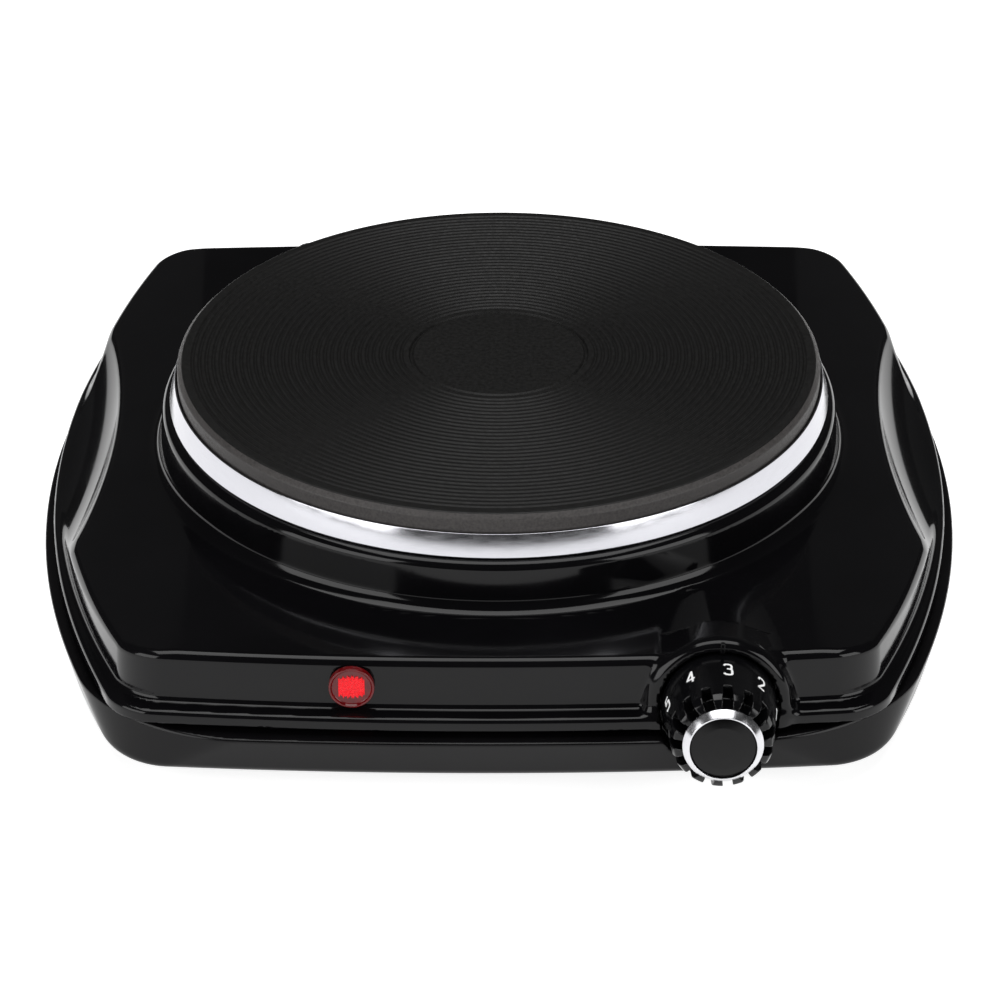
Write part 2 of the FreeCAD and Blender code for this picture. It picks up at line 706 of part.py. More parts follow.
WIRE_R = 1.2
LEAD_R = 0.8
LIVE_TAB = knob_point(STACK_X, 11.3, LEAF_L - LEAF_THICK / 2)
SWITCHED_TAB = knob_point(STACK_X, 11.3, BIMETAL_L - BIMETAL_THICK / 2)


def way_point(k, dy, dz=0.0):
    return Vector(BLOCK_X + k * WAY_PITCH, BLOCK_Y0 + dy, 15.0 + dz)


def make_live_wire():
    return wire_tube([
        way_point(-1, 5), way_point(-1, -22, 3), Vector(-52, 10, 18), Vector(0, -58, 20), Vector(44, -76, 24),
        Vector(LIVE_TAB.x - 8, LIVE_TAB.y + 6, 34.4), LIVE_TAB,
    ], WIRE_R)


def make_neutral_wire():
    return wire_tube([
        way_point(0, 5, 0.9), way_point(0, -20, 2), Vector(-34, 32, 22), Vector(-9, 27, 30),
        Vector(-9, 35, 36.5),
    ], WIRE_R)


def make_switched_wire():
    return wire_tube([
        SWITCHED_TAB, Vector(78, -80, 30), Vector(62, -40, 22), Vector(26, 5, 22),
        Vector(9, 27, 29), Vector(9, 35, 36.5),
    ], WIRE_R)


def make_earth_wire():
    run = [way_point(1, 5), way_point(1, -16, 1), Vector(-33, 52, 13), Vector(-24, 62, 11.6)]
    return wire_tube(run, WIRE_R)


def make_earth_screw():
    floor = FOOT_HEIGHT + PAN_WALL
    head = rod(3.5, floor + 1.0, floor + 3.2, -20, 66).cut(block(-24, -16, 65.6, 66.4, floor + 2.4, 20))
    return head.fuse(pipe(5.0, 1.5, floor, floor + 1.0, -20, 66)).fuse(rod(2.0, floor, floor + 1.5, -20, 66))


def make_lamp_lead_neutral():
    return wire_tube([
        Vector(LAMP_X - 1.4, LAMP_WALL_Y + 15.3, LAMP_Z), Vector(LAMP_X - 3, -96, 30), Vector(-66, -60, 16),
        Vector(-76, 0, 13), Vector(-66, 48, 13), way_point(0, -14, -3), way_point(0, -5, -1.35),
        way_point(0, 4, -1.35),
    ], LEAD_R)


def make_lamp_lead_live():
    return wire_tube([
        Vector(LAMP_X + 3, LAMP_WALL_Y + 27.3, LAMP_Z), Vector(LAMP_X + 8, -86, 28), Vector(0, -76, 15),
        Vector(44, -88, 16), knob_point(STACK_X - 1.6, 8, BIMETAL_L - 6),
        knob_point(STACK_X - 1.6, 9, BIMETAL_L - 1.9),
    ], LEAD_R)


# Write every node -------------------------------------------------------------------------------------------

PARTS = {
    "top_shell": make_top_shell(),
    "base_pan": make_base_pan(),
    "cast_iron_plate": make_plate(),
    "overflow_ring": make_overflow_ring(),
    "heating_coils": group(coil_rings()),
    "ceramic_fill": make_ceramic_fill(),
    "element_cover": make_element_cover(),
    "centre_stud": make_centre_stud(),
    "clamp_bridge": make_clamp_bridge(),
    "stud_washers": make_stud_washers(),
    "stud_nuts": make_stud_nuts(),
    "heat_shield": make_heat_shield(),
    "shield_spacer": make_shield_spacer(),
    "element_terminal_block": make_element_terminal_block(),
    "element_terminals": make_element_terminals(),
    "thermostat_bracket": make_thermostat_bracket(),
    "thermostat_bush": make_thermostat_bush(),
    "bush_nut": make_bush_nut(),
    "thermostat_spindle": make_spindle(),
    "adjusting_pin": make_adjusting_pin(),
    "contact_leaf": make_contact_leaf(),
    "bimetal_blade": make_bimetal_blade(),
    "ceramic_stack": make_ceramic_stack(),
    "thermostat_tabs": make_thermostat_tabs(),
    "stack_screw": make_stack_screw(),
    "knob_body": make_knob_body(),
    "knob_clip": make_knob_clip(),
    "knob_ring": make_knob_ring(),
    "knob_cap": make_knob_cap(),
    "pilot_lens": make_pilot_lens(),
    "lamp_clip": make_lamp_clip(),
    "neon_bulb": make_neon_bulb(),
    "lamp_resistor": make_lamp_resistor(),
    "cord_gland": make_cord_gland(),
    "mains_terminal_block": make_mains_terminal_block(),
    "terminal_screws": make_terminal_screws(),
    "live_wire": make_live_wire(),
    "switched_wire": make_switched_wire(),
    "neutral_wire": make_neutral_wire(),
    "earth_wire": make_earth_wire(),
    "lamp_lead_live": make_lamp_lead_live(),
    "lamp_lead_neutral": make_lamp_lead_neutral(),
    "earth_screw": make_earth_screw(),
    "foot_front_left": make_foot(-FOOT_X, -FOOT_Y),
    "foot_front_right": make_foot(FOOT_X, -FOOT_Y),
    "foot_back_left": make_foot(-FOOT_X, FOOT_Y),
    "foot_back_right": make_foot(FOOT_X, FOOT_Y),
    "foot_screws": make_foot_screws(),
}

for name, shape in PARTS.items():
    shape.translate(Vector(0, BODY_SHIFT, 0))
    shape.exportStep(f"parts/{name}.step")
    state = "valid" if shape.isValid() else "NOT VALID"
    print(name, state, len(shape.Solids), "volume", round(shape.Volume, 1))
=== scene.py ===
import json
import math

import bpy
import numpy as np
from mathutils import Matrix, Vector


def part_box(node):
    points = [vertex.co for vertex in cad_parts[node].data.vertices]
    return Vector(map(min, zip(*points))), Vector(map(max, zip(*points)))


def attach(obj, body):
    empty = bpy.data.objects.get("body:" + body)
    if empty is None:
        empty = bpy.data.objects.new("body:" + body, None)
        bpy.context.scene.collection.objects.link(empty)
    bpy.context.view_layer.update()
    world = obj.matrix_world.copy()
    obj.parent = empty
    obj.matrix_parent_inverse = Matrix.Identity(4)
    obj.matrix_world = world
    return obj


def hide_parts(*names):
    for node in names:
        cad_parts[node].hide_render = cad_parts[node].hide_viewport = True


# The looks of a single-plate electric hot plate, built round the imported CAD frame. Shapes are
# worked out in millimetres about the cooking plate's axis, with z = 0 at the feet, and placed in
# the frame in metres.

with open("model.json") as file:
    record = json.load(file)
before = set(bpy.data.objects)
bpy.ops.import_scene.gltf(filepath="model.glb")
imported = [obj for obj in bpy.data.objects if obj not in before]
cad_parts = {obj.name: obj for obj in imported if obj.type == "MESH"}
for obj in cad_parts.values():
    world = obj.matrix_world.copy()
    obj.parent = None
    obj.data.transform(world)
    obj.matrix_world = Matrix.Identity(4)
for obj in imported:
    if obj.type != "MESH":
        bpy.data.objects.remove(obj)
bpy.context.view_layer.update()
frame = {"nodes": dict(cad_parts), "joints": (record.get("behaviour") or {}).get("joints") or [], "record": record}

MM = 0.001
ROOT = "housing"


def node_box(node):
    """Lowest and highest corner of a CAD node in millimetres."""
    lo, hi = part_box(node)
    return np.array(lo) / MM, np.array(hi) / MM


plate_lo, plate_hi = node_box("cast_iron_plate")
ring_lo, _ = node_box("overflow_ring")
lens_lo, lens_hi = node_box("pilot_lens")
_, foot_hi = node_box("foot_front_left")
AXIS_Y = (plate_lo[1] + plate_hi[1]) / 2

# Body heights and plan, as in the CAD model
FOOT_TOP = foot_hi[2]
PAN_RIM_Z = 19.4
BAND_BOTTOM_Z = 21.1
BAND_TOP_Z = 24.7
WALL_BOTTOM_Z = 25.5
DECK_Z = 39.7
COLLAR_TOP_Z = ring_lo[2]
PLATE_TOP_Z = plate_hi[2]
PLATE_R = (plate_hi[0] - plate_lo[0]) / 2
PAN_DEPTH, PAN_WIDTH, PAN_SIDE_R, PAN_SIDE_MID, PAN_BOW_R = 132.8, 132.3, 309.0, 3.0, 1150.0
PAN_TAPER, PAN_WALL = 3.1, 1.2
PAN_RIM_CORNER, PAN_FLOOR_CORNER = 30.0, 10.0
BAND_DEPTH, BAND_WIDTH, BAND_SIDE_R = 129.7, 129.9, 331.0
WALL_DEPTH, WALL_WIDTH, WALL_SIDE_R = 124.5, 127.5, 304.0
SHELL_SIDE_MID, FRONT_BOW_R, BACK_BOW_R = 9.0, 900.0, 1900.0
SHELL_CORNER, WALL_DRAFT = 8.0, 0.9
CREASE_X, CREASE_FLARE, SLOPE = 103.5, math.tan(math.radians(1.6)), math.radians(18.0)
SCOOP_CENTRE_X, SCOOP_SWEEP, SCOOP_R, SCOOP_Z = 432.0, 300.0, 22.0, 46.0
COLLAR_BASE_R, COLLAR_TOP_R, COLLAR_WALL = 98.5, 96.9, 3.2
OPENING_R, OPENING_DROP = 84.0, 5.0
BOSS_R, RECESS_R, RECESS_DEPTH = 18.8, 16.1, 11.0
HUMP_REAR, HUMP_TILT = -36.0, math.radians(10.5)
CUP_FLOOR, CUP_CLEAR, PAN_GAP = 2.0, 1.2, 0.4
LAMP_X, LAMP_HOLE_R = (lens_lo[0] + lens_hi[0]) / 2, 5.1
LAMP_Z = (lens_lo[2] + lens_hi[2]) / 2
GLAND_X, GLAND_Z, GLAND_HOLE_R = -60.0, 32.0, 5.3
# The lamp's and the gland's holes cut only what is further out than this
HOLES_FROM_Y = 110.0
FOOT_X, FOOT_Y, POST_R, POST_DROP = 88.0, 104.0, 5.0, 1.0
RIM_FLANGE, LIP_HEIGHT, MOUTH_RISE = 7.0, 4.0, 3.0
NOTCH_GAP, NOTCH_DEPTH, CUP_ROOM_DEPTH = 0.9, 4.0, 40.0
VENT_PITCH, VENT_HALF_WIDTH, VENT_X, VENT_HALF_LENGTH, VENT_CUT = 14.0, 2.0, 26.0, 20.0, 5.0

# Sheets are drawn thicker on their hidden side, so that the two faces of a thin wall stay apart in
# the grid
SHELL_THICK, PAN_THICK = 2.1, 2.1

# Radii of rounded edges and of fillets
CREASE_ROUND, TOP_ROUND, BAND_ROUND, BAND_FILLET = 5.0, 2.4, 1.2, 1.4
SCOOP_ROUND, COLLAR_ROUND, COLLAR_FILLET = 1.3, 2.4, 3.6
HUMP_ROUND, HUMP_FILLET, CUP_FILLET, SHELL_EDGE = 1.7, 3.5, 2.2, 0.5
PAN_FLOOR_ROUND, PAN_HOLLOW_ROUND, PAN_RIM_ROUND, PAN_EDGE = 2.5, 1.5, 0.9, 0.4

# The knob's own frame, from its joint
turn = next(j for j in frame["joints"] if j["name"] == "knob_turn")
KNOB_OUT = np.array(turn["axis"], float) / np.linalg.norm(turn["axis"])
KNOB_RIGHT = np.array([1.0, 0.0, 0.0])
KNOB_UP = np.cross(KNOB_OUT, KNOB_RIGHT)
KNOB_AT = np.array(turn["pos_m"], float) / MM - [0, AXIS_Y, 0]


# Mesh helpers -------------------------------------------------------------------------------------

def add_piece(name, verts, faces, body, material, replaced=(), normals=None, smooth_deg=None):
    """A mesh piece from millimetre points about the plate's axis."""
    mesh = bpy.data.meshes.new(name)
    points = (np.asarray(verts, float) + [0, AXIS_Y, 0]) * MM
    mesh.from_pydata(points.tolist(), [], [tuple(f) for f in faces])
    mesh.update()
    mesh.shade_smooth()
    if normals is not None:
        mesh.normals_split_custom_set_from_vertices(np.asarray(normals, float).tolist())
    if smooth_deg is not None:
        mesh.set_sharp_from_angle(angle=math.radians(smooth_deg))
    mesh.materials.append(material)
    piece = bpy.data.objects.new(name, mesh)
    bpy.context.scene.collection.objects.link(piece)
    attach(piece, body)
    if replaced:
        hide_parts(*replaced)
    return piece


def rounded(profile, radii, steps=5):
    """A profile's points with each corner but its two ends rounded by its radius."""
    points = [np.array(p, float) for p in profile]
    out = []
    for i, (point, radius) in enumerate(zip(points, radii)):
        if radius <= 0 or i in (0, len(points) - 1):
            out.append(point)
            continue
        back = points[i - 1] - point
        ahead = points[i + 1] - point
        back_len, ahead_len = np.linalg.norm(back), np.linalg.norm(ahead)
        back, ahead = back / back_len, ahead / ahead_len
        half = math.acos(max(-1.0, min(1.0, float(back @ ahead)))) / 2
        trim = min(radius / math.tan(half), 0.49 * back_len, 0.49 * ahead_len)
        first, last = point + back * trim, point + ahead * trim
        for k in range(steps + 1):
            t = k / steps
            out.append((1 - t) ** 2 * first + 2 * t * (1 - t) * point + t * t * last)
    return np.array(out)


def lathe(profile, steps=192):
    """Points and quads of a closed ring of (radius, height) points turned about the Z axis."""
    profile = np.asarray(profile, float)
    turns = np.linspace(0, 2 * math.pi, steps, endpoint=False)
    count = len(profile)
    verts = np.stack([
        np.outer(np.cos(turns), profile[:, 0]),
        np.outer(np.sin(turns), profile[:, 0]),
        np.tile(profile[:, 1], (steps, 1)),
    ], axis=2).reshape(-1, 3)
    i, k = np.meshgrid(np.arange(steps), np.arange(count), indexing="ij")
    i2, k2 = (i + 1) % steps, (k + 1) % count
    faces = np.stack([i * count + k, i2 * count + k, i2 * count + k2, i * count + k2], axis=2)
    return verts, faces.reshape(-1, 4)


def merge_axis(verts, faces):
    """Joins a lathe's points that lie on its axis, and drops the flat faces there."""
    on_axis = np.hypot(verts[:, 0], verts[:, 1]) < 1e-6
    keys = {}
    remap = np.arange(len(verts))
    for index in np.nonzero(on_axis)[0]:
        remap[index] = keys.setdefault(round(verts[index, 2], 4), index)
    clean = []
    for face in remap[faces]:
        ring = [int(v) for n, v in enumerate(face) if v != face[n - 1]]
        if len(set(ring)) > 2:
            clean.append(ring)
    return verts, clean


def from_knob(points):
    """Points in the knob's frame (right, up, outward), moved to the body."""
    points = np.asarray(points, float)
    across, up, out = points[:, :1], points[:, 1:2], points[:, 2:]
    return KNOB_AT + across * KNOB_RIGHT + up * KNOB_UP + out * KNOB_OUT


def in_knob(x, y, z, up_axis, out_axis):
    """Distances from an axis through the knob's place and along it, given its two directions."""
    up = (y - KNOB_AT[1]) * up_axis[1] + (z - KNOB_AT[2]) * up_axis[2]
    out = (y - KNOB_AT[1]) * out_axis[1] + (z - KNOB_AT[2]) * out_axis[2]
    return np.hypot(x - KNOB_AT[0], up), out


# Solids as distance functions ---------------------------------------------------------------------

def meet(a, b, r):
    """What is in both, with its edge rounded by r."""
    return np.minimum(-r, np.maximum(a, b)) + np.hypot(np.maximum(a + r, 0), np.maximum(b + r, 0))


def join(a, b, r):
    """What is in either, with a fillet of r."""
    return np.maximum(r, np.minimum(a, b)) - np.hypot(np.maximum(r - a, 0), np.maximum(r - b, 0))


def outline(x, y, depth, width, side_mid, side_r, bows, corner):
    """The plan outline: side arcs widest at side_mid, and a front and a back bow."""
    side = np.hypot(np.abs(x) + side_r - width, y - side_mid) - side_r
    bow_r = np.where(y < 0, bows[0], bows[1])
    bow = np.hypot(x, np.abs(y) + bow_r - depth) - bow_r
    return meet(side, bow, corner)


def shell_plan(x, y, depth, width, side_r):
    bows = (FRONT_BOW_R, BACK_BOW_R)
    return outline(x, y, depth, width, SHELL_SIDE_MID, side_r, bows, SHELL_CORNER)


def band_plan(x, y):
    return shell_plan(x, y, BAND_DEPTH, BAND_WIDTH, BAND_SIDE_R)


def wall_plan(x, y, inset):
    return shell_plan(x, y, WALL_DEPTH - inset, WALL_WIDTH - inset, WALL_SIDE_R)


def pan_plan(x, y, inset, corner):
    depth, width, bows = PAN_DEPTH - inset, PAN_WIDTH - inset, (PAN_BOW_R, PAN_BOW_R)
    return outline(x, y, depth, width, PAN_SIDE_MID, PAN_SIDE_R, bows, corner)


HUMP_OUT = np.array([0.0, -math.cos(HUMP_TILT), math.sin(HUMP_TILT)])
HUMP_UP = np.array([0.0, math.sin(HUMP_TILT), math.cos(HUMP_TILT)])


def pressed(x, y, z, inset, collar_inset):
    """The pressed top's outside surface, or the space inside it when inset."""
    lift = np.clip((z - WALL_BOTTOM_Z) / (DECK_Z - WALL_BOTTOM_Z), 0, 1)
    wall = wall_plan(x, y, WALL_DRAFT * lift) + inset
    deck = z - DECK_Z + inset
    past_crease = np.abs(x) - CREASE_X - CREASE_FLARE * y
    slope = past_crease * math.sin(SLOPE) + (z - DECK_Z) * math.cos(SLOPE) + inset
    body = meet(wall, meet(deck, slope, CREASE_ROUND), TOP_ROUND)
    band, foot = band_plan(x, y), wall_plan(x, y, 0.0)
    share = np.clip(band / np.minimum(band - foot, -0.5), 0, 2)
    ledge = z - BAND_TOP_Z - (WALL_BOTTOM_Z - BAND_TOP_Z) * share + inset
    body = join(body, meet(band + inset, ledge, BAND_ROUND), BAND_FILLET)
    sweep = np.hypot(np.abs(x) - SCOOP_CENTRE_X, y - SHELL_SIDE_MID) - SCOOP_SWEEP
    scoop = np.hypot(sweep, z - SCOOP_Z) - SCOOP_R - inset
    body = meet(body, -scoop, SCOOP_ROUND)
    lean = (COLLAR_BASE_R - COLLAR_TOP_R) / (COLLAR_TOP_Z - DECK_Z)
    side = (np.hypot(x, y) - COLLAR_BASE_R + lean * (z - DECK_Z)) / math.hypot(1, lean)
    collar = meet(side + collar_inset, z - COLLAR_TOP_Z + inset, COLLAR_ROUND)
    body = join(body, collar, COLLAR_FILLET)
    spread, out = in_knob(x, y, z, HUMP_UP, HUMP_OUT)
    hump = meet(spread - BOSS_R + inset, np.maximum(out, HUMP_REAR - out), HUMP_ROUND)
    return join(body, hump, HUMP_FILLET)


def shell_solid(x, y, z):
    """The pressed top with the knob's cup and recess, its openings, and the posts over the feet."""
    outer = meet(pressed(x, y, z, 0.0, 0.0), BAND_BOTTOM_Z - z, SHELL_EDGE)
    inner = pressed(x, y, z, SHELL_THICK, COLLAR_WALL)
    spread, out = in_knob(x, y, z, KNOB_UP, KNOB_OUT)
    cup = meet(spread - BOSS_R, out, HUMP_ROUND)
    cup = np.maximum(cup, -RECESS_DEPTH - CUP_FLOOR - out)
    in_pan = pan_plan(x, y, PAN_TAPER + 2 * PAN_WALL + CUP_CLEAR, PAN_FLOOR_CORNER)
    in_pan_wall = np.maximum(z - BAND_BOTTOM_Z, -in_pan)
    cup = np.maximum(np.maximum(cup, -in_pan_wall), FOOT_TOP + PAN_WALL + PAN_GAP - z)
    whole = join(np.maximum(outer, -inner), cup, CUP_FILLET)
    recess = np.maximum(spread - RECESS_R, -RECESS_DEPTH - out)
    whole = meet(whole, -recess, SHELL_EDGE)
    opening = np.maximum(np.hypot(x, y) - OPENING_R, DECK_Z - OPENING_DROP - z)
    whole = np.maximum(whole, -opening)
    lamp = np.maximum(np.hypot(x - LAMP_X, z - LAMP_Z) - LAMP_HOLE_R, y + HOLES_FROM_Y)
    gland = np.maximum(np.hypot(x - GLAND_X, z - GLAND_Z) - GLAND_HOLE_R, HOLES_FROM_Y - y)
    whole = np.maximum(whole, np.maximum(-lamp, -gland))
    posts = np.hypot(np.abs(x) - FOOT_X, np.abs(y) - FOOT_Y) - POST_R
    posts = np.maximum(posts, np.maximum(z - DECK_Z + POST_DROP, FOOT_TOP + PAN_WALL - z))
    return np.minimum(whole, posts)


def pan_solid(x, y, z):
    """The lower pan with its flat rim, the lip inside it, the room for the knob's cup, and vents."""
    share = np.clip((z - FOOT_TOP) / (PAN_RIM_Z - FOOT_TOP), 0, 1)
    corner = PAN_FLOOR_CORNER + (PAN_RIM_CORNER - PAN_FLOOR_CORNER) * share
    wall = pan_plan(x, y, PAN_TAPER * (1 - share), corner)
    outer = meet(meet(wall, FOOT_TOP - z, PAN_FLOOR_ROUND), z - PAN_RIM_Z, PAN_RIM_ROUND)
    hollow = meet(wall + PAN_THICK, FOOT_TOP + PAN_WALL - z, PAN_HOLLOW_ROUND)
    hollow = np.maximum(hollow, z - PAN_RIM_Z + PAN_WALL)
    lip_inset = PAN_TAPER + RIM_FLANGE
    mouth = pan_plan(x, y, lip_inset + PAN_WALL, PAN_FLOOR_CORNER)
    mouth = np.maximum(mouth, FOOT_TOP + MOUTH_RISE - z)
    pan = np.maximum(outer, np.maximum(-hollow, -mouth))
    lip = np.maximum(pan_plan(x, y, lip_inset, PAN_FLOOR_CORNER), -mouth)
    lip_top = z - PAN_RIM_Z + PAN_WALL - LIP_HEIGHT
    lip = np.maximum(lip, np.maximum(PAN_RIM_Z - PAN_WALL - z, lip_top))
    pan = np.minimum(pan, lip)
    spread, out = in_knob(x, y, z, KNOB_UP, KNOB_OUT)
    notch = np.maximum(spread - RECESS_R - NOTCH_GAP, -NOTCH_DEPTH - out)
    inside = pan_plan(x, y, PAN_TAPER + 2 * PAN_WALL, PAN_FLOOR_CORNER)
    cup_room = np.maximum(spread - BOSS_R - PAN_GAP, out + PAN_GAP)
    cup_room = np.maximum(cup_room, np.maximum(-CUP_ROOM_DEPTH - out, inside))
    cut = np.maximum(np.minimum(notch, cup_room), FOOT_TOP + PAN_WALL - z)
    pan = meet(pan, -cut, PAN_EDGE)
    nearest_row = VENT_PITCH * np.round(np.clip(y / VENT_PITCH, -2, 2))
    row = np.abs(y - nearest_row) - VENT_HALF_WIDTH
    vent = np.maximum(row, np.abs(np.abs(x) - VENT_X) - VENT_HALF_LENGTH)
    vent = np.maximum(vent, z - FOOT_TOP - VENT_CUT)
    return meet(pan, -vent, PAN_EDGE)


def graded(spans):
    """Grid lines with the step of each (start, end, step) span."""
    lines = [spans[0][0]]
    for start, end, step in spans:
        count = max(1, round((end - start) / step))
        lines += list(np.linspace(start, end, count + 1)[1:])
    return np.array(lines)


def gradient(solid, points, step):
    """How steeply a solid's distance grows along each axis at each point."""
    slopes = []
    for axis in range(3):
        shift = np.zeros(3)
        shift[axis] = step
        slopes.append(solid(*(points + shift).T) - solid(*(points - shift).T))
    return np.stack(slopes, axis=1) / (2 * step)


PULLS, PULL_STEP, LONGEST_PULL, LEAST_SLOPE, NORMAL_STEP = 4, 0.05, 0.5, 0.2, 0.12


def surface_nets(solid, xs, ys, zs):
    """A quad mesh of a solid's surface: a point in each mixed grid cell, moved onto the surface."""
    grid = np.stack(np.meshgrid(xs, ys, zs, indexing="ij"), axis=-1)
    values = solid(grid[..., 0], grid[..., 1], grid[..., 2])
    inside = values < 0
    cells = tuple(n - 1 for n in inside.shape)
    corners = [(i, j, k) for i in (0, 1) for j in (0, 1) for k in (0, 1)]
    windows = {c: tuple(slice(o, o + n) for o, n in zip(c, cells)) for c in corners}
    count = sum(inside[windows[c]].astype(np.int8) for c in corners)
    mixed = (count > 0) & (count < 8)
    total, hits = np.zeros((mixed.sum(), 3)), np.zeros(mixed.sum())
    for a in corners:
        for axis in range(3):
            if a[axis]:
                continue
            b = tuple(v + (n == axis) for n, v in enumerate(a))
            va, vb = values[windows[a]][mixed], values[windows[b]][mixed]
            crossed = (va < 0) != (vb < 0)
            t = np.where(crossed, va / np.where(crossed, va - vb, 1), 0)
            pa, pb = grid[windows[a]][mixed], grid[windows[b]][mixed]
            total += (pa + (pb - pa) * t[:, None]) * crossed[:, None]
            hits += crossed
    points = total / hits[:, None]
    number = np.full(cells, -1)
    number[mixed] = np.arange(len(points))
    quads = []
    for axis in range(3):
        u, v = (axis + 1) % 3, (axis + 2) % 3
        near = [slice(1, -1)] * 3
        near[axis] = slice(0, -1)
        far = list(near)
        far[axis] = slice(1, None)
        first, second = inside[tuple(near)], inside[tuple(far)]
        corner_cells = []
        for du, dv in ((-1, -1), (0, -1), (0, 0), (-1, 0)):
            window = [slice(0, n) for n in cells]
            window[u] = slice(1 + du, cells[u] + du)
            window[v] = slice(1 + dv, cells[v] + dv)
            corner_cells.append(number[tuple(window)])
        for flips, order in ((first & ~second, (0, 1, 2, 3)), (~first & second, (3, 2, 1, 0))):
            quads.append(np.stack([corner_cells[n][flips] for n in order], axis=1))
    for _ in range(PULLS):
        slopes = gradient(solid, points, PULL_STEP)
        drop = solid(*points.T) / np.maximum((slopes ** 2).sum(axis=1), LEAST_SLOPE)
        points = points - np.clip(drop, -LONGEST_PULL, LONGEST_PULL)[:, None] * slopes
    normals = gradient(solid, points, NORMAL_STEP)
    normals /= np.maximum(np.linalg.norm(normals, axis=1), 1e-6)[:, None]
    return points, np.concatenate(quads), normals


# Materials ----------------------------------------------------------------------------------------

def add_node(tree, kind, **inputs):
    node = tree.nodes.new(kind)
    for socket, value in inputs.items():
        node.inputs[socket.replace("_", " ")].default_value = value
    return node


def look(name, colour, rough, spread, grain, bump, metal=0.0, tint=0.15, stretch=(1, 1, 1), **sockets):
    """A procedural material: colour and roughness vary with noise, over a fine bump.

    rough and spread are the middle and the variation of roughness, tint the variation of colour.
    grain is the noise size and bump the relief's depth, in millimetres."""
    material = bpy.data.materials.new(name)
    material.use_nodes = True
    tree = material.node_tree
    shader = tree.nodes["Principled BSDF"]
    shader.inputs["Metallic"].default_value = metal
    for socket, value in sockets.items():
        shader.inputs[socket.replace("_", " ")].default_value = value
    coords = tree.nodes.new("ShaderNodeTexCoord")
    mapping = add_node(tree, "ShaderNodeMapping", Scale=stretch)
    tree.links.new(coords.outputs["Object"], mapping.inputs["Vector"])
    noise = add_node(tree, "ShaderNodeTexNoise", Scale=1 / (grain * MM), Detail=4.0)
    tree.links.new(mapping.outputs["Vector"], noise.inputs["Vector"])
    low, high = 0.3, 0.7  # the range that most of the noise lies in
    roughness = add_node(
        tree, "ShaderNodeMapRange", From_Min=low, From_Max=high,
        To_Min=max(0.0, rough - spread), To_Max=min(1.0, rough + spread),
    )
    tree.links.new(noise.outputs["Fac"], roughness.inputs["Value"])
    tree.links.new(roughness.outputs["Result"], shader.inputs["Roughness"])
    ramp = tree.nodes.new("ShaderNodeValToRGB")
    dark_end, light_end = ramp.color_ramp.elements
    dark_end.position, light_end.position = low, high
    dark_end.color = (*[c * (1 - tint) for c in colour], 1)
    light_end.color = (*[min(1, c * (1 + tint)) for c in colour], 1)
    tree.links.new(noise.outputs["Fac"], ramp.inputs["Fac"])
    tree.links.new(ramp.outputs["Color"], shader.inputs["Base Color"])
    fine = add_node(tree, "ShaderNodeTexNoise", Scale=3 / (grain * MM), Detail=3.0)
    tree.links.new(mapping.outputs["Vector"], fine.inputs["Vector"])
    relief = add_node(tree, "ShaderNodeBump", Strength=1.0, Distance=bump * MM)
    tree.links.new(fine.outputs["Fac"], relief.inputs["Height"])
    tree.links.new(relief.outputs["Normal"], shader.inputs["Normal"])
    return material


